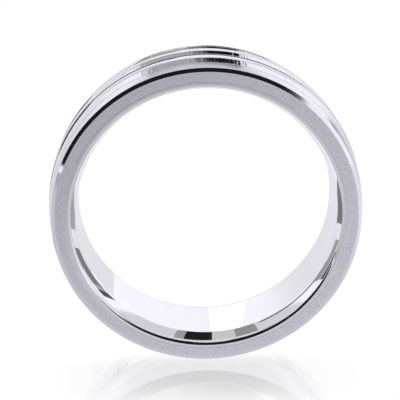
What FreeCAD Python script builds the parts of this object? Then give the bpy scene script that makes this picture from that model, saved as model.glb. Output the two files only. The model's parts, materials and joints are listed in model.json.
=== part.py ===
"""Wedding band: a stack of rings pressed onto a comfort-fit sleeve.

The finger hole runs along Y through the origin, which is the centre of the band.
The front side face looks along -Y, and +Z is up, so the band stands on its edge.
Every ring is one closed section, drawn beside the axis and turned about it.
Lengths are millimetres.
"""
import FreeCAD
import Part
import Sketcher
import math
import os

# Driving dimensions. Axial ones run along Y, radial ones are measured from the axis.
SIZES = {
    "band_width": 7.0,        # side face to side face
    "bore_radius": 9.9,       # straight finger hole, US size 10
    "crown_radius": 12.05,    # highest point of the domed outside
    "dome_radius": 17.0,      # the dome's own arc, seen in section
    "seat_radius": 10.7,      # where the outer rings sit on the sleeve
    "comfort_depth": 1.2,     # how far each rounded end reaches into the finger hole
    "comfort_radius": 4.71,   # the rounded end's arc
    "lip_radius": 10.33,      # where that arc would meet the side face
    "lip_rounding": 0.335,    # rounding of the corner between them
    "rim_bevel": 0.22,        # polished bevel round each side face
    "rib_width": 1.1,         # each brushed rib
    "rib_pitch": 1.92,        # from one rib's middle to the next
    "rib_chamfer": 0.02,      # broken corners of the ribs
    "spacer_radius": 11.975,  # edges of the polished spacers between the ribs
    "groove_radius": 0.6,     # hollow of the spacers, seen in section
}

START, END, CENTRE = 1, 2, 3
ORIGIN = (-1, START)
RADIAL_LINE = -2
TOLERANCE = 1e-4


class Size:
    """A length that keeps both its number and the spreadsheet formula behind it."""

    def __init__(self, value, formula):
        self.value = value
        self.formula = formula

    def __add__(self, other):
        return Size(self.value + other.value, f"({self.formula} + {other.formula})")

    def __sub__(self, other):
        return Size(self.value - other.value, f"({self.formula} - {other.formula})")

    def __neg__(self):
        return Size(-self.value, f"-({self.formula})")

    def half(self):
        return Size(self.value / 2, f"({self.formula} / 2)")


def size(name):
    return Size(SIZES[name], f"Sizes.{name}")


def make_sheet(doc):
    sheet = doc.addObject("Spreadsheet::Sheet", "Sizes")
    for row, (name, value) in enumerate(SIZES.items(), start=1):
        sheet.set(f"A{row}", name)
        sheet.set(f"B{row}", str(value))
        sheet.setAlias(f"B{row}", name)
    doc.recompute()


def dome_height(axial):
    """Radius of the domed outside at an axial place: a starting value for the sketch solver."""
    dome = SIZES["dome_radius"]
    return SIZES["crown_radius"] - dome + math.sqrt(dome ** 2 - axial.value ** 2)


def arc_through(start, end, radius, side):
    """The shorter arc between two points. side is 1 if its centre is left of start-to-end, else -1."""
    chord = end - start
    middle = (start + end) * 0.5
    across = FreeCAD.Vector(-chord.y, chord.x, 0).normalize() * side
    centre = middle + across * math.sqrt(radius ** 2 - (chord.Length / 2) ** 2)
    return Part.Arc(start, centre - across * radius, end)


class Section:
    """A closed outline in the axial and radial plane, with every length tied to the sheet."""

    def __init__(self, body, corners, arcs):
        """Corners are (axial, radial) pairs: a Size is tied, a plain number is left to the arcs.

        arcs gives (radius, side) for the edges that aren't straight, by the corner they start at.
        """
        self.sketch = body.newObject("Sketcher::SketchObject", "Section")
        plane = next(item for item in body.Origin.OriginFeatures if item.Role == "YZ_Plane")
        self.sketch.AttachmentSupport = [(plane, "")]
        self.sketch.MapMode = "FlatFace"
        self.corners = corners
        self.points = [self.point(axial, radial) for axial, radial in corners]
        self.draw_edges(arcs)
        for index in range(len(corners)):
            self.join(index)
            self.tie_corner(index, arcs)

    @staticmethod
    def point(axial, radial):
        height = radial.value if isinstance(radial, Size) else radial
        return FreeCAD.Vector(axial.value, height, 0)

    def draw_edges(self, arcs):
        for index, start in enumerate(self.points):
            end = self.points[(index + 1) % len(self.points)]
            if index in arcs:
                radius, side = arcs[index]
                self.sketch.addGeometry(arc_through(start, end, radius.value, side))
                self.tie("Radius", radius, index)
            else:
                self.sketch.addGeometry(Part.LineSegment(start, end))

    def end_at(self, edge, corner):
        """Which end of an edge lies at a corner, because an arc may be stored the other way round."""
        near_start = self.sketch.getPoint(edge, START).distanceToPoint(self.points[corner])
        near_end = self.sketch.getPoint(edge, END).distanceToPoint(self.points[corner])
        return START if near_start < near_end else END

    def add(self, kind, *where):
        return self.sketch.addConstraint(Sketcher.Constraint(kind, *where))

    def tie(self, kind, length, *where):
        index = self.add(kind, *where, length.value)
        self.sketch.setExpression(f"Constraints[{index}]", length.formula)

    def tie_from_origin(self, kind, length, edge, end):
        """A distance is never negative, so a point on the negative side is measured the other way."""
        if length.value < 0:
            self.tie(kind, -length, edge, end, *ORIGIN)
        else:
            self.tie(kind, length, *ORIGIN, edge, end)

    def join(self, corner):
        before = (corner - 1) % len(self.corners)
        ends = (before, self.end_at(before, corner), corner, self.end_at(corner, corner))
        self.add("Coincident", *ends)

    def tie_corner(self, corner, arcs):
        """Tie a corner to the sheet, or keep it level or square with the corner before it."""
        before = (corner - 1) % len(self.corners)
        axial, radial = self.corners[corner]
        axial_before, radial_before = self.corners[before]
        straight = before not in arcs
        end = self.end_at(corner, corner)
        if straight and axial.formula == axial_before.formula:
            self.add("Vertical", before)
        else:
            self.tie_from_origin("DistanceX", axial, corner, end)
        if not isinstance(radial, Size):
            return
        level = isinstance(radial_before, Size) and radial.formula == radial_before.formula
        if straight and level:
            self.add("Horizontal", before)
        else:
            self.tie_from_origin("DistanceY", radial, corner, end)

    def centre_arc(self, edge, radial):
        """Put an arc's centre on the band's middle plane, at a radial place."""
        self.add("PointOnObject", edge, CENTRE, RADIAL_LINE)
        self.tie_from_origin("DistanceY", radial, edge, CENTRE)


def turn(body, section):
    """Turn a section all the way round the finger hole's axis."""
    solid = body.newObject("PartDesign::Revolution", "Turned")
    solid.Profile = section.sketch
    solid.ReferenceAxis = (section.sketch, ["H_Axis"])
    solid.Angle = 360
    return solid


def circles_at(feature, places):
    """Names of the circular edges whose (axial, radial) places are listed."""
    names = []
    for number, edge in enumerate(feature.Shape.Edges, start=1):
        curve = edge.Curve
        if not isinstance(curve, Part.Circle):
            continue
        for axial, radial in places:
            off = abs(curve.Center.y - axial) + abs(curve.Radius - radial)
            if off < TOLERANCE:
                names.append(f"Edge{number}")
    return names


def dress_edges(body, kind, base, places, amount, prop):
    """Round or chamfer the circular edges at the places given."""
    body.Document.recompute()
    feature = body.newObject(kind, "EdgeDressing")
    feature.Base = (base, circles_at(base, places))
    setattr(feature, prop, amount.value)
    feature.setExpression(prop, amount.formula)


def new_body(doc, label):
    body = doc.addObject("PartDesign::Body", label)
    body.Label = label
    return body


def make_sleeve(doc):
    """The lining that the finger touches: a straight bore with rounded ends, flush with the side faces."""
    body = new_body(doc, "comfort_fit_sleeve")
    face = size("band_width").half()
    bore_end = face - size("comfort_depth")
    bore, lip, seat = size("bore_radius"), size("lip_radius"), size("seat_radius")
    comfort = size("comfort_radius")
    corners = [(-bore_end, bore), (bore_end, bore), (face, lip), (face, seat), (-face, seat), (-face, lip)]
    section = Section(body, corners, {1: (comfort, 1), 5: (comfort, 1)})
    solid = turn(body, section)
    lips = [(side * face.value, lip.value) for side in (-1, 1)]
    dress_edges(body, "PartDesign::Fillet", solid, lips, size("lip_rounding"), "Radius")
    return body


def make_outer_ring(doc, label, start, end):
    """A ring on the sleeve whose outside is its share of the dome. Returns the body and its solid."""
    body = new_body(doc, label)
    seat = size("seat_radius")
    corners = [(start, seat), (end, seat), (end, dome_height(end)), (start, dome_height(start))]
    section = Section(body, corners, {2: (size("dome_radius"), 1)})
    section.centre_arc(2, size("crown_radius") - size("dome_radius"))
    return body, turn(body, section)


def make_rim(doc, label):
    """An end ring: satin side face, polished bevel, and a polished shoulder up to the first rib."""
    face = size("band_width").half()
    body, solid = make_outer_ring(doc, label, size("rib_pitch") + size("rib_width").half(), face)
    places = [(face.value, dome_height(face))]
    dress_edges(body, "PartDesign::Chamfer", solid, places, size("rim_bevel"), "Size")
    return body


def make_rib(doc, label, start, end):
    """A brushed ring that carries its share of the dome, with its two outer corners broken."""
    body, solid = make_outer_ring(doc, label, start, end)
    places = [(place.value, dome_height(place)) for place in (start, end)]
    dress_edges(body, "PartDesign::Chamfer", solid, places, size("rib_chamfer"), "Size")
    return body


def make_spacer(doc, label):
    """A polished ring between two ribs. Its hollow outside is the groove."""
    body = new_body(doc, label)
    start = size("rib_width").half()
    end = size("rib_pitch") - size("rib_width").half()
    seat, edge = size("seat_radius"), size("spacer_radius")
    corners = [(start, seat), (end, seat), (end, edge), (start, edge)]
    turn(body, Section(body, corners, {2: (size("groove_radius"), -1)}))
    return body


def turn_to_front(body):
    """The front rings are the rear ones turned half round the upright axis."""
    body.Placement = FreeCAD.Placement(FreeCAD.Vector(), FreeCAD.Rotation(FreeCAD.Vector(0, 0, 1), 180))


def make_band(doc):
    half_rib = size("rib_width").half()
    pitch = size("rib_pitch")
    rings = [make_sleeve(doc), make_rib(doc, "centre_rib", -half_rib, half_rib)]
    for side in ("rear", "front"):
        pair = [
            make_spacer(doc, f"{side}_spacer"),
            make_rib(doc, f"{side}_rib", pitch - half_rib, pitch + half_rib),
            make_rim(doc, f"{side}_rim"),
        ]
        if side == "front":
            for body in pair:
                turn_to_front(body)
        rings += pair
    return rings


def check(doc, rings):
    for item in doc.Objects:
        if "Invalid" in item.State or "Error" in item.State:
            raise RuntimeError(f"{item.Label} failed: {item.State}")
    for body in rings:
        if body.Shape.isNull() or not body.Shape.isValid() or len(body.Shape.Solids) != 1:
            raise RuntimeError(f"{body.Label} isn't one sound solid")
        for item in body.Group:
            if item.TypeId == "Sketcher::SketchObject" and not item.FullyConstrained:
                raise RuntimeError(f"the section of {body.Label} is free to move")


def main():
    doc = FreeCAD.newDocument("WeddingBand")
    make_sheet(doc)
    rings = make_band(doc)
    doc.recompute()
    check(doc, rings)
    os.makedirs("parts", exist_ok=True)
    for body in rings:
        body.Shape.exportStep(f"parts/{body.Label}.step")
        box = body.Shape.BoundBox
        print(f"{body.Label}: {body.Shape.Volume:.1f} mm3, y {box.YMin:.2f} to {box.YMax:.2f}")


main()
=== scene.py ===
"""Looks for a polished metal wedding band with three ribs round its crown.

Each CAD piece of the band is replaced by a finely turned mesh of the same section, with its
edges softly broken and its own finish. The band stands on a pale table in a white studio.
"""

import json
import math

import bpy
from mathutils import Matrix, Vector


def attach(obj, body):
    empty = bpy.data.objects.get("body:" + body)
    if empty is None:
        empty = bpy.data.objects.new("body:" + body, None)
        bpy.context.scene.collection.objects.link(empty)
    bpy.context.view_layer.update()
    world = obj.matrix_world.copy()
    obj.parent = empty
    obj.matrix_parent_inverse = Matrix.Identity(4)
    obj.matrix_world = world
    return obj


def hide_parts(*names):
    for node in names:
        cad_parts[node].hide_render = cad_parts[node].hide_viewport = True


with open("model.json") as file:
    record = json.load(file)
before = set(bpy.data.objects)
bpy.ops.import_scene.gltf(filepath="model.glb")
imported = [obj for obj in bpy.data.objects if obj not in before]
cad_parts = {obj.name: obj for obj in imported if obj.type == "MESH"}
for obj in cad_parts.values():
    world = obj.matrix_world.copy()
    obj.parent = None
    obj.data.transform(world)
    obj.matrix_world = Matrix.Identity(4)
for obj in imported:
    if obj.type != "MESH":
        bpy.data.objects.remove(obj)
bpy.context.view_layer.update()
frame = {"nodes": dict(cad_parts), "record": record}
MM = 0.001


# ---------------------------------------------------------------- sizes

def extent(node):
    """(front edge, rear edge, inner radius, outer radius) of a turned CAD node, in metres."""
    vertices = [v.co for v in frame["nodes"][node].data.vertices]
    along = [v.y for v in vertices]
    radii = [math.hypot(v.x, v.z) for v in vertices]
    return min(along), max(along), min(radii), max(radii)


def bore_dims():
    """The sizes of the record's finger bore."""
    return next(m["dims"] for m in frame["record"]["mounts"] if m["name"] == "finger_bore")


BORE_RADIUS = bore_dims()["r_mm"] * MM
BORE_END = bore_dims()["length_mm"] * MM / 2
HALF_WIDTH = extent("comfort_fit_sleeve")[1]
SEAT_RADIUS = extent("comfort_fit_sleeve")[3]
CROWN_RADIUS = extent("centre_rib")[3]
DOME_RADIUS = 17.0 * MM
COMFORT_RADIUS = 4.71 * MM
COMFORT_EDGE = 10.33 * MM
LIP_ROUNDING = 0.335 * MM
RIM_BEVEL = 0.22 * MM
RIB_CHAMFER = 0.02 * MM
SPACER_RADIUS = 11.975 * MM
GROOVE_RADIUS = 0.6 * MM

# Softness of the corners: how far each is rounded off along both of its edges.
SEAM = 0.03 * MM
BORE_SOFTNESS = 0.02 * MM
BEVEL_SOFTNESS = 0.014 * MM
SHOULDER_SOFTNESS = 0.012 * MM
RIB_SOFTNESS = 0.007 * MM
# How far inside a rounded corner its edges get one more point, so that they stay flat in shading.
SUPPORT = 0.004 * MM

# Points round each turned mesh, and rounds of the search for the bevel's upper end.
AROUND = 576
BEVEL_ROUNDS = 20


def dome_height(along):
    """Radius of the domed crown at a distance from the middle of the band."""
    return CROWN_RADIUS - DOME_RADIUS + math.sqrt(DOME_RADIUS ** 2 - along ** 2)


# ---------------------------------------------------------------- sections

def blend_points(a, b, t):
    return (a[0] + (b[0] - a[0]) * t, a[1] + (b[1] - a[1]) * t)


def line(start, end, steps=1):
    """Evenly spaced points from start to end, both included."""
    return [blend_points(start, end, i / steps) for i in range(steps + 1)]


def arc(centre, start, end, steps):
    """Points of the shorter arc about centre from start to end, both included."""
    first = math.atan2(start[1] - centre[1], start[0] - centre[0])
    last = math.atan2(end[1] - centre[1], end[0] - centre[0])
    turn = (last - first + math.pi) % (2 * math.pi) - math.pi
    reach = math.dist(centre, start)
    angles = [first + turn * i / steps for i in range(steps + 1)]
    return [(centre[0] + reach * math.cos(a), centre[1] + reach * math.sin(a)) for a in angles]


def centre_left_of(start, end, reach):
    """Centre of the arc of radius reach from start to end that lies left of the way there."""
    middle = blend_points(start, end, 0.5)
    chord = math.dist(start, end)
    away = math.sqrt(reach ** 2 - (chord / 2) ** 2) / chord
    return (middle[0] - (end[1] - start[1]) * away, middle[1] + (end[0] - start[0]) * away)


def dome(start, end, steps):
    """Points on the domed crown between two distances from the band's middle."""
    return [
        (a, dome_height(a)) for a in (start + (end - start) * i / steps for i in range(steps + 1))
    ]


def cut_start(points, length):
    """The polyline without its first stretch of that length."""
    left = length
    for i in range(len(points) - 1):
        step = math.dist(points[i], points[i + 1])
        if step > left:
            return [blend_points(points[i], points[i + 1], left / step)] + points[i + 1:]
        left -= step
    raise ValueError("an edge is shorter than the rounding of its corners")


def cut_both(points, first, last):
    """The polyline shortened at both ends, with a support point just inside each rounded end."""
    points = cut_start(points, first)
    points = cut_start(points[::-1], last)[::-1]
    if first:
        points = [points[0]] + cut_start(points, SUPPORT)
    if last:
        points = cut_start(points[::-1], SUPPORT)[::-1] + [points[-1]]
    return points


def rounded(before, corner, after, steps=4):
    """A corner as a curve from before to after."""
    curve = []
    for i in range(steps + 1):
        t = i / steps
        near = blend_points(before, corner, t)
        far = blend_points(corner, after, t)
        curve.append(blend_points(near, far, t))
    return curve


def outline(edges):
    """A closed section as (point, look of the face that follows it, wear at the point).

    Each edge is (points, look, softness of the corner at its end, look of that corner).
    """
    result = []
    for i, (points, look, soft, corner_look) in enumerate(edges):
        soft_before = edges[i - 1][2]
        trimmed = cut_both(points, soft_before, soft)
        for j, point in enumerate(trimmed[:-1]):
            near_start = soft_before and j < 2
            near_end = soft and j > len(trimmed) - 3
            result.append((point, look, float(bool(near_start or near_end))))
        if not soft:
            continue
        following = edges[(i + 1) % len(edges)][0]
        after = cut_start(following, soft)[0]
        result += [(p, corner_look, 1.0) for p in rounded(trimmed[-1], points[-1], after)[:-1]]
    return result


def mirrored(section):
    """The section of the matching piece at the other side of the band."""
    return [((-a, r), look, wear) for (a, r), look, wear in section]


def sleeve_section():
    """The finger bore, both rounded ends with their lips, and the seat of the outer rings."""
    bore = (BORE_END, BORE_RADIUS)
    edge = (HALF_WIDTH, COMFORT_EDGE)
    centre = centre_left_of(bore, edge, COMFORT_RADIUS)
    lip_along = HALF_WIDTH - LIP_ROUNDING
    inward = COMFORT_RADIUS - LIP_ROUNDING
    lip = (lip_along, centre[1] - math.sqrt(inward ** 2 - (lip_along - centre[0]) ** 2))
    touch = blend_points(centre, lip, COMFORT_RADIUS / inward)
    face = (HALF_WIDTH, lip[1])
    seat = (HALF_WIDTH, SEAT_RADIUS)
    end = arc(centre, bore, touch, steps=28) + arc(lip, touch, face, steps=16)[1:]
    other_end = [(-a, r) for a, r in reversed(end)]
    return outline([
        (line((-BORE_END, BORE_RADIUS), bore, steps=8), "bore", BORE_SOFTNESS, "bore"),
        (end, "bore", 0, "bore"),
        (line(face, seat, steps=2), "polish", SEAM, "polish"),
        (line(seat, (-HALF_WIDTH, SEAT_RADIUS)), "polish", SEAM, "polish"),
        (line((-HALF_WIDTH, SEAT_RADIUS), (-HALF_WIDTH, lip[1]), steps=2), "polish", 0, "bore"),
        (other_end, "bore", BORE_SOFTNESS, "bore"),
    ])


def rim_section():
    """The rear end ring: satin side face, polished bevel and polished shoulder."""
    inner = extent("rear_rim")[0]
    low = (inner, SEAT_RADIUS)
    high = (inner, dome_height(inner))
    face_low = (HALF_WIDTH, SEAT_RADIUS)
    bevel_dome, bevel_radius = bevel_ends()
    bevel_face = (HALF_WIDTH, bevel_radius)
    return outline([
        (line(low, face_low), "satin", SEAM, "polish"),
        (line(face_low, bevel_face, steps=6), "satin", BEVEL_SOFTNESS, "polish"),
        (line(bevel_face, bevel_dome, steps=3), "polish", BEVEL_SOFTNESS, "polish"),
        (dome(bevel_dome[0], inner, steps=10), "shoulder", SHOULDER_SOFTNESS, "polish"),
        (line(high, low), "polish", 0, "polish"),
    ])


def bevel_ends():
    """Where the rim's bevel meets the dome, and the radius at which it meets the side face."""
    corner_radius = dome_height(HALF_WIDTH)
    along = HALF_WIDTH - RIM_BEVEL
    for _ in range(BEVEL_ROUNDS):
        slope = (dome_height(along) - corner_radius) / (HALF_WIDTH - along)
        along = HALF_WIDTH - RIM_BEVEL / math.hypot(1, slope)
    return (along, dome_height(along)), corner_radius - RIM_BEVEL


def rib_section(start, end):
    """A rib that carries its share of the dome, with broken corners and satin walls."""
    low_start, low_end = (start, SEAT_RADIUS), (end, SEAT_RADIUS)
    corner_end = (end, dome_height(end) - RIB_CHAMFER)
    corner_start = (start, dome_height(start) - RIB_CHAMFER)
    top_end = (end - RIB_CHAMFER, dome_height(end - RIB_CHAMFER))
    top_start = (start + RIB_CHAMFER, dome_height(start + RIB_CHAMFER))
    return outline([
        (line(low_start, low_end), "brushed", 0, "brushed"),
        (line(low_end, corner_end), "satin", RIB_SOFTNESS, "brushed"),
        (line(corner_end, top_end), "brushed", RIB_SOFTNESS, "brushed"),
        (dome(top_end[0], top_start[0], steps=12), "brushed", RIB_SOFTNESS, "brushed"),
        (line(top_start, corner_start), "brushed", RIB_SOFTNESS, "brushed"),
        (line(corner_start, low_start), "satin", 0, "satin"),
    ])


def spacer_section(start, end):
    """A polished ring between two ribs, with a hollow outside."""
    left, right = (start, SPACER_RADIUS), (end, SPACER_RADIUS)
    centre = centre_left_of(left, right, GROOVE_RADIUS)
    hollow = arc(centre, right, left, steps=20)
    low_left, low_right = (start, SEAT_RADIUS), (end, SEAT_RADIUS)
    return outline([
        (line(low_left, low_right), "polish", 0, "polish"),
        (line(low_right, right), "polish", 0, "polish"),
        (hollow, "groove", 0, "groove"),
        (line(left, low_left), "polish", 0, "polish"),
    ])


# ---------------------------------------------------------------- finishes

class Graph:
    """Short ways to add maths to a node tree."""

    def __init__(self, tree):
        self.nodes = tree.nodes
        self.links = tree.links

    def coordinates(self, kind):
        return self.nodes.new("ShaderNodeTexCoord").outputs[kind]

    def split(self, vector):
        """The x, y and z of a vector."""
        node = self.nodes.new("ShaderNodeSeparateXYZ")
        self.links.new(vector, node.inputs[0])
        return node.outputs

    def join(self, value, socket):
        if isinstance(value, (int, float)):
            socket.default_value = value
        else:
            self.links.new(value, socket)

    def maths(self, operation, *values):
        node = self.nodes.new("ShaderNodeMath")
        node.operation = operation
        for value, socket in zip(values, node.inputs):
            self.join(value, socket)
        return node.outputs[0]

    def step(self, value, low, high):
        """0 below low and 1 above high, eased between them."""
        node = self.nodes.new("ShaderNodeMapRange")
        node.interpolation_type = "SMOOTHSTEP"
        for value, name in ((value, "Value"), (low, "From Min"), (high, "From Max")):
            self.join(value, node.inputs[name])
        return node.outputs["Result"]

    def band(self, value, low, high, soft):
        """1 between low and high, and 0 elsewhere."""
        rise = self.step(value, low - soft, low + soft)
        fall = self.step(value, high - soft, high + soft)
        return self.maths("SUBTRACT", rise, fall)

    def every(self, *masks):
        """1 where every mask is 1."""
        product = masks[0]
        for mask in masks[1:]:
            product = self.maths("MULTIPLY", product, mask)
        return product

    def mix(self, mask, below, above):
        """below where mask is 0 and above where it is 1."""
        node = self.nodes.new("ShaderNodeMix")
        self.join(mask, node.inputs["Factor"])
        self.join(below, node.inputs["A"])
        self.join(above, node.inputs["B"])
        return node.outputs["Result"]


def new_material(name, colour, roughness, metallic=1.0):
    """A material with its shader's fixed values set. Returns it with its graph and shader."""
    material = bpy.data.materials.new(name)
    material.use_nodes = True
    shader = material.node_tree.nodes["Principled BSDF"]
    shader.inputs["Base Color"].default_value = (*colour, 1)
    shader.inputs["Metallic"].default_value = metallic
    shader.inputs["Roughness"].default_value = roughness
    return material, Graph(material.node_tree), shader


class Metal:
    """A metal finish in the making: marks in the band's own coordinates, then colour and relief."""

    def __init__(self, name):
        self.material, self.graph, self.shader = new_material(name, (1, 1, 1), 0.2)
        nodes, links = self.graph.nodes, self.graph.links
        self.place = self.graph.coordinates("Object")
        x, along, z = self.graph.split(self.place)
        radius = self.graph.maths("SQRT", self.graph.maths("ADD", self.squared(x), self.squared(z)))
        angle = self.graph.maths("ARCTAN2", z, x)
        round_the_band = self.graph.maths("MULTIPLY", angle, CROWN_RADIUS)
        round_place = nodes.new("ShaderNodeCombineXYZ")
        for value, socket in zip((radius, along, round_the_band), round_place.inputs):
            links.new(value, socket)
        self.round_place = round_place.outputs[0]
        wear = nodes.new("ShaderNodeAttribute")
        wear.attribute_name = "wear"
        self.wear = wear.outputs["Fac"]

    def squared(self, value):
        return self.graph.maths("MULTIPLY", value, value)

    def noise(self, place, per_mm, detail=3):
        """Noise from 0 to 1, with so many waves in a millimetre along each of the place's axes."""
        nodes, links = self.graph.nodes, self.graph.links
        stretch = nodes.new("ShaderNodeMapping")
        stretch.inputs["Scale"].default_value = [waves / MM for waves in per_mm]
        links.new(place, stretch.inputs["Vector"])
        noise = nodes.new("ShaderNodeTexNoise")
        noise.inputs["Scale"].default_value = 1
        noise.inputs["Detail"].default_value = detail
        links.new(stretch.outputs[0], noise.inputs["Vector"])
        return noise.outputs["Fac"]

    def grain(self, waves, detail=3):
        """Marks with no direction."""
        return self.noise(self.place, (waves, waves, waves), detail)

    def streaks_across(self, waves, length, detail=3):
        """Marks that run from one side face towards the other."""
        return self.noise(self.place, (waves, 1 / length, waves), detail)

    def streaks_round(self, waves, length, detail=3):
        """Marks that run round the band, as a lathe or a buff leaves them."""
        return self.noise(self.round_place, (waves, waves, 1 / length), detail)

    def colour(self, mask, below, above):
        """Base colour from below to above as mask goes from 0 to 1."""
        mix = self.graph.nodes.new("ShaderNodeMix")
        mix.data_type = "RGBA"
        self.graph.links.new(mask, mix.inputs["Factor"])
        mix.inputs["A"].default_value = (*below, 1)
        mix.inputs["B"].default_value = (*above, 1)
        self.graph.links.new(mix.outputs["Result"], self.shader.inputs["Base Color"])

    def roughness(self, mask, below, above, worn):
        """Roughness from below to above as mask goes from 0 to 1, and worn on the edges."""
        plain = self.graph.mix(mask, below, above)
        rough = self.graph.mix(self.wear, plain, worn)
        self.graph.links.new(rough, self.shader.inputs["Roughness"])

    def relief(self, *marks):
        """Bump from (mask, depth) pairs, one on top of the other."""
        below = None
        for mask, depth in marks:
            bump = self.graph.nodes.new("ShaderNodeBump")
            bump.inputs["Distance"].default_value = depth
            self.graph.links.new(mask, bump.inputs["Height"])
            if below:
                self.graph.links.new(below, bump.inputs["Normal"])
            below = bump.outputs["Normal"]
        self.graph.links.new(below, self.shader.inputs["Normal"])


def satin():
    """Fine blasted side faces and rib walls: an even grain, burnished smoother at the edges."""
    metal = Metal("satin")
    grain = metal.grain(waves=11, detail=2)
    patches = metal.grain(waves=1.3)
    speckle = metal.graph.step(grain, 0.3, 0.7)
    metal.colour(speckle, (0.80, 0.79, 0.85), (0.95, 0.94, 1.0))
    metal.roughness(patches, 0.38, 0.46, worn=0.14)
    metal.relief((grain, 0.0012 * MM))
    return metal.material


def polish():
    """Mirror polish with the hairlines that a buffing wheel leaves round the band."""
    metal = Metal("polish")
    hairlines = metal.streaks_round(waves=45, length=3)
    smears = metal.grain(waves=0.8)
    metal.colour(smears, (0.80, 0.80, 0.845), (0.87, 0.87, 0.91))
    metal.roughness(metal.graph.step(hairlines, 0.55, 0.75), 0.03, 0.13, worn=0.09)
    metal.relief((hairlines, 0.0002 * MM))
    return metal.material


def shoulder():
    """Finely turned and half polished, so it is softer than the bevel beside it."""
    metal = Metal("shoulder")
    lines = metal.streaks_round(waves=22, length=5)
    cloud = metal.grain(waves=1.5)
    metal.colour(cloud, (0.78, 0.775, 0.83), (0.87, 0.865, 0.92))
    metal.roughness(lines, 0.10, 0.24, worn=0.06)
    metal.relief((lines, 0.0006 * MM), (cloud, 0.0008 * MM))
    return metal.material


def brushed():
    """Brushed straight across the ribs, with coarse and fine strokes."""
    metal = Metal("brushed")
    fine = metal.streaks_across(waves=14, length=2.5, detail=4)
    coarse = metal.streaks_across(waves=3, length=6)
    strokes = metal.graph.step(metal.graph.mix(0.35, fine, coarse), 0.3, 0.7)
    metal.colour(strokes, (0.74, 0.735, 0.785), (0.93, 0.925, 0.97))
    metal.roughness(strokes, 0.04, 0.12, worn=0.85)
    metal.relief((coarse, 0.035 * MM), (fine, 0.006 * MM))
    return metal.material


def groove():
    """The spacers' bright hollows, cut with a round-nosed tool."""
    metal = Metal("groove")
    lines = metal.streaks_round(waves=30, length=6)
    metal.colour(lines, (0.84, 0.835, 0.88), (0.93, 0.925, 0.97))
    metal.roughness(lines, 0.07, 0.15, worn=0.05)
    metal.relief((lines, 0.0004 * MM))
    return metal.material


def bore():
    """Mirror polish inside, faintly scuffed by the finger."""
    metal = Metal("bore")
    scuffs = metal.streaks_round(waves=28, length=1.5)
    haze = metal.grain(waves=0.6)
    metal.colour(haze, (0.87, 0.865, 0.90), (0.93, 0.925, 0.96))
    metal.roughness(metal.graph.step(scuffs, 0.58, 0.74), 0.02, 0.09, worn=0.05)
    metal.relief((scuffs, 0.00012 * MM))
    return metal.material


def finishes():
    makers = (satin, polish, shoulder, brushed, groove, bore)
    return {maker.__name__: maker() for maker in makers}


# ---------------------------------------------------------------- pieces

def turned(name, section, looks):
    """A mesh of a closed section turned about the band's axis."""
    count = len(section)
    vertices = []
    for i in range(AROUND):
        angle = 2 * math.pi * i / AROUND
        for (along, radius), _, _ in section:
            vertices.append((radius * math.cos(angle), along, radius * math.sin(angle)))
    used = list(dict.fromkeys(look for _, look, _ in section))
    faces, slots = [], []
    for i in range(AROUND):
        here, there = i * count, (i + 1) % AROUND * count
        for j in range(count):
            k = (j + 1) % count
            faces.append((here + j, there + j, there + k, here + k))
            slots.append(used.index(section[j][1]))
    mesh = bpy.data.meshes.new(name)
    mesh.from_pydata(vertices, [], faces)
    for look in used:
        mesh.materials.append(looks[look])
    mesh.polygons.foreach_set("material_index", slots)
    mesh.polygons.foreach_set("use_smooth", [True] * len(faces))
    mesh.update()
    mesh.set_sharp_from_angle(angle=math.radians(20))
    wear = mesh.attributes.new("wear", "FLOAT", "POINT")
    wear.data.foreach_set("value", [worn for _, _, worn in section] * AROUND)
    piece = bpy.data.objects.new(name, mesh)
    bpy.context.scene.collection.objects.link(piece)
    return piece


def signed_area(section):
    points = [p for p, _, _ in section]
    return sum(a[0] * b[1] - b[0] * a[1] for a, b in zip(points, points[1:] + points[:1]))


def facing_out(section):
    """The section in the order that makes its faces look outwards."""
    if signed_area(section) > 0:
        return section
    points = [p for p, _, _ in section][::-1]
    looks = [look for _, look, _ in section][::-1]
    wear = [worn for _, _, worn in section][::-1]
    return list(zip(points, looks[1:] + looks[:1], wear))


def make_band(looks):
    rib_end = extent("centre_rib")[1]
    spacer_end = extent("rear_spacer")[1]
    outer_rib_end = extent("rear_rib")[1]
    spacer = spacer_section(rib_end, spacer_end)
    rib = rib_section(spacer_end, outer_rib_end)
    rim = rim_section()
    plan = [
        ("comfort_fit_sleeve", sleeve_section(), "polished_metal"),
        ("centre_rib", rib_section(-rib_end, rib_end), "cross_brushed_metal"),
        ("rear_spacer", spacer, "polished_metal"),
        ("rear_rib", rib, "cross_brushed_metal"),
        ("rear_rim", rim, "satin_metal"),
        ("front_spacer", mirrored(spacer), "polished_metal"),
        ("front_rib", mirrored(rib), "cross_brushed_metal"),
        ("front_rim", mirrored(rim), "satin_metal"),
    ]
    for node, section, slot in plan:
        piece = turned(node + "_look", facing_out(section), looks)
        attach(piece, "root")
        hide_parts(node)


# ---------------------------------------------------------------- studio

# Where the table's gloss fades in, in front of the band, under it and to its sides.
GLOSS_FRONT = (-13 * MM, -5 * MM)
GLOSS_REAR = (-1 * MM, -3.5 * MM)
GLOSS_SIDES = (16 * MM, 7 * MM)

# Places of the cards, in millimetres from the middle of the band.
STAND_DISTANCE = 40
STAND_FOOT, STAND_TOP = 10.4, 38
STRIP_FRONT, STRIP_REAR, STRIP_HEIGHT = 3.6, 20, 10.7
PATCH_HEIGHT = -12.06
FLAG_DISTANCE = 45

# How far the low part of the dark room is turned, in degrees.
ROOM_TURN = 24

# Brightness of what surrounds the band.
PAPER = 1.02
BACKDROP = 1.05
REAR_WALL = 0.72
LOW_LEFT = 0.86
SLOT = 0.15
DARK_ROOM = 0.012


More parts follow.
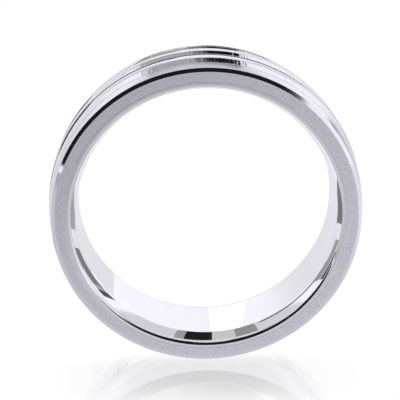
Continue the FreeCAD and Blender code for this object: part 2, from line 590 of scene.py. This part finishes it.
def make_camera():
    """A long lens, a little to the left of the band's axis and looking down on it."""
    azimuth, elevation, distance = math.radians(-2.33), math.radians(20.84), 111 * MM
    target = Vector((0, -HALF_WIDTH, 0))
    away = Vector((
        math.sin(azimuth) * math.cos(elevation),
        -math.cos(azimuth) * math.cos(elevation),
        math.sin(elevation),
    ))
    data = bpy.data.cameras.new("camera")
    data.sensor_width = 36
    data.lens = 132.7
    data.shift_x = -0.018
    data.shift_y = 0.049
    data.clip_start = 1 * MM
    data.clip_end = 10
    camera = bpy.data.objects.new("camera", data)
    camera.location = target + away * distance
    camera.rotation_mode = "QUATERNION"
    camera.rotation_quaternion = (-away).to_track_quat("-Z", "Y")
    bpy.context.scene.collection.objects.link(camera)
    bpy.context.scene.camera = camera


def make_plane(name, height, material):
    """A wide level plane."""
    reach = 3.0
    mesh = bpy.data.meshes.new(name)
    corners = [(-reach, -reach), (reach, -reach), (reach, reach), (-reach, reach)]
    mesh.from_pydata([(x, y, height) for x, y in corners], [], [(0, 1, 2, 3)])
    mesh.materials.append(material)
    plane = bpy.data.objects.new(name, mesh)
    bpy.context.scene.collection.objects.link(plane)
    return plane


def glowing_material(name, colour):
    """A dull black material that gives off light. Returns it with its graph and shader."""
    material, graph, shader = new_material(name, (0, 0, 0), 1, metallic=0)
    shader.inputs["Specular IOR Level"].default_value = 0
    shader.inputs["Emission Color"].default_value = (*colour, 1)
    return material, graph, shader


def make_table():
    """The pale table, glossy in a patch in front of the band. The metal reflects the sheet instead."""
    material, graph, shader = new_material("table", (0.02, 0.02, 0.02), 0.1, metallic=0)
    shader.inputs["Emission Color"].default_value = (1, 1, 1, 1)
    shader.inputs["Emission Strength"].default_value = 0.63
    shader.inputs["IOR"].default_value = 4
    x, y, _ = graph.split(graph.coordinates("Object"))
    near_band = graph.every(
        graph.step(y, *GLOSS_FRONT),
        graph.step(y, *GLOSS_REAR),
        graph.step(graph.maths("ABSOLUTE", x), *GLOSS_SIDES),
    )
    paper = graph.nodes.new("ShaderNodeEmission")
    paper.inputs["Strength"].default_value = PAPER
    blend = graph.nodes.new("ShaderNodeMixShader")
    graph.links.new(near_band, blend.inputs[0])
    graph.links.new(paper.outputs[0], blend.inputs[1])
    graph.links.new(shader.outputs[0], blend.inputs[2])
    graph.links.new(blend.outputs[0], graph.nodes["Material Output"].inputs["Surface"])
    table = make_plane("table", -CROWN_RADIUS, material)
    table.visible_glossy = False


def make_shade_sheet():
    """The grey sheet just below the table, which only shows in the metal. Its grey in front of the
    band is painted shade, the table's shade round the band as the metal sees it.
    """
    material, graph, shader = glowing_material("sheet", (0.96, 0.955, 1))
    x, y, _ = graph.split(graph.coordinates("Object"))
    right = graph.step(x, 5 * MM, 45 * MM)
    far_front = graph.step(y, -12 * MM, -50 * MM)
    behind = graph.step(y, -3 * MM, 8 * MM)
    far_behind = graph.step(y, 8 * MM, 28 * MM)
    # Painted shade: in front of the band, away from its right, the sheet glows dimmer, and the metal
    # shows that as the table's shade.
    front_light = graph.mix(right, graph.mix(far_front, 0.67, 0.48), 0.92)
    rear_light = graph.mix(far_behind, 1.0, 0.85)
    graph.links.new(graph.mix(behind, front_light, rear_light), shader.inputs["Emission Strength"])
    sheet = make_plane("sheet", -CROWN_RADIUS - 0.05 * MM, material)
    sheet.visible_camera = False
    sheet.visible_diffuse = False


def make_card(name, corners, brightness):
    """A studio card that only shows in reflections. Corners are in millimetres."""
    material, _, shader = glowing_material(name, (1, 1, 1))
    shader.inputs["Emission Strength"].default_value = brightness
    mesh = bpy.data.meshes.new(name)
    mesh.from_pydata([Vector(c) * MM for c in corners], [], [tuple(range(len(corners)))])
    mesh.materials.append(material)
    card = bpy.data.objects.new(name, mesh)
    card.visible_camera = False
    card.visible_diffuse = False
    card.visible_shadow = False
    bpy.context.scene.collection.objects.link(card)


def upright(foot, top, low, high):
    """Corners of a card behind the band, from its left and right ends at its foot and at its top."""
    return [
        (foot[0], STAND_DISTANCE, low),
        (foot[1], STAND_DISTANCE, low),
        (top[1], STAND_DISTANCE, high),
        (top[0], STAND_DISTANCE, high),
    ]


def make_stands():
    """Upright cards behind the band, which make the blocks on its ribs and in its bore."""
    for name, foot, top, brightness in (
        ("dark_stand", (1.6, 6.9), (1.6, 14.4), 0.005),
        ("dim_stand", (-1.2, 1.6), (-1.6, 1.6), 0.17),
        ("grey_stand", (-10.5, -1.2), (-20, -1.6), 0.42),
    ):
        make_card(name, upright(foot, top, STAND_FOOT, STAND_TOP), brightness)
    make_card("white_stand", upright((-5.4, 0.7), (-5.4, 0.7), -1, 10), 1.4)


def make_strips():
    """Level strips behind the top of the band, which make the blocks on the lip of its lower part."""
    for name, left, right, brightness in (
        ("left_strip", -7.2, -3.4, 0.30),
        ("middle_strip", -3.4, 0.1, 0.62),
        ("dark_strip", 0.1, 4.2, 0.015),
        ("right_strip", 4.2, 5.8, 0.35),
    ):
        places = [(left, STRIP_FRONT), (right, STRIP_FRONT), (right, STRIP_REAR), (left, STRIP_REAR)]
        make_card(name, [(x, y, STRIP_HEIGHT) for x, y in places], brightness)


def make_floor_patches():
    """Dark grey patches lying behind the band, between the table and the sheet, which only show in the
    metal.
    """
    for name, places, brightness in (
        ("left_floor_patch", [(-6, 13), (-6, 20), (-14, 25), (-22, 15), (-14, 10)], 0.2),
        ("right_floor_patch", [(7, 14), (7, 24), (15, 24), (24, 8), (18, 6)], 0.4),
    ):
        make_card(name, [(x, y, PATCH_HEIGHT) for x, y in places], brightness)


def make_flags():
    """Upright cards behind the band, to its right and left and turned to face it."""
    for name, azimuth, near, far, low, high, brightness in (
        ("right_flag", 57, -12, 2, 5.5, 10, 0.1),
        ("right_stripe", 57, -12, 2, 3, 5.5, 0.45),
        ("right_grey", 57, -12, 2, -12, 3, 0.22),
        ("left_flag", -68, -5, 5, -7, 6, 0.03),
        ("left_grey", -54, -5, 5, -12, 6, 0.35),
    ):
        turn = math.radians(azimuth)
        away = Vector((math.sin(turn), math.cos(turn))) * FLAG_DISTANCE
        across = Vector((math.cos(turn), -math.sin(turn)))
        left, right = away + across * near, away + across * far
        make_card(name, [(*left, low), (*right, low), (*right, high), (*left, high)], brightness)


def studio_light(graph):
    """Brightness of the tent by direction: azimuth is 0 behind the band, and 90 to its right."""
    x, y, z = graph.split(graph.coordinates("Generated"))
    azimuth = graph.maths("DEGREES", graph.maths("ARCTAN2", x, y))
    height = graph.maths("DEGREES", graph.maths("ARCSINE", z))
    rear_wall = graph.every(graph.band(height, 28, 62, 4), graph.band(azimuth, -75, 75, 12))
    low_left = graph.every(
        graph.step(height, 20, 4), graph.step(azimuth, 14, -6), graph.step(azimuth, -95, -80)
    )
    slot = graph.every(
        graph.band(y, 0.585, 0.635, 0.01), graph.step(x, -0.4, -0.45), graph.band(z, -0.1, 0.72, 0.02)
    )
    light = graph.mix(rear_wall, BACKDROP, REAR_WALL)
    light = graph.mix(low_left, light, LOW_LEFT)
    light = graph.mix(slot, light, SLOT)
    # The dark room is in front. Where it is low it is turned to the left.
    above_table = graph.band(height, 3, 77, 1)
    turn = graph.maths("MULTIPLY", graph.step(height, 38, 24), ROOM_TURN)
    room = graph.maths("SUBTRACT", azimuth, turn)
    for start, end in ((98, 122), (-98, -104)):
        light = graph.mix(graph.every(above_table, graph.step(room, start, end)), light, DARK_ROOM)
    return light


def make_world():
    """A white tent with a dark room in front of it. The camera sees a plain white backdrop."""
    world = bpy.data.worlds.new("studio")
    world.use_nodes = True
    graph = Graph(world.node_tree)
    shown = graph.nodes.new("ShaderNodeLightPath").outputs["Is Camera Ray"]
    light = graph.mix(shown, studio_light(graph), BACKDROP)
    colour = graph.nodes.new("ShaderNodeCombineColor")
    graph.links.new(graph.mix(shown, 0.965, 1.0), colour.inputs[0])
    graph.links.new(graph.mix(shown, 0.96, 1.0), colour.inputs[1])
    colour.inputs[2].default_value = 1
    background = graph.nodes["Background"]
    graph.links.new(colour.outputs[0], background.inputs["Color"])
    graph.links.new(light, background.inputs["Strength"])
    bpy.context.scene.world = world
    bpy.context.scene.view_settings.view_transform = "Standard"


make_camera()
make_band(finishes())
make_table()
make_shade_sheet()
make_stands()
make_strips()
make_floor_patches()
make_flags()
make_world()
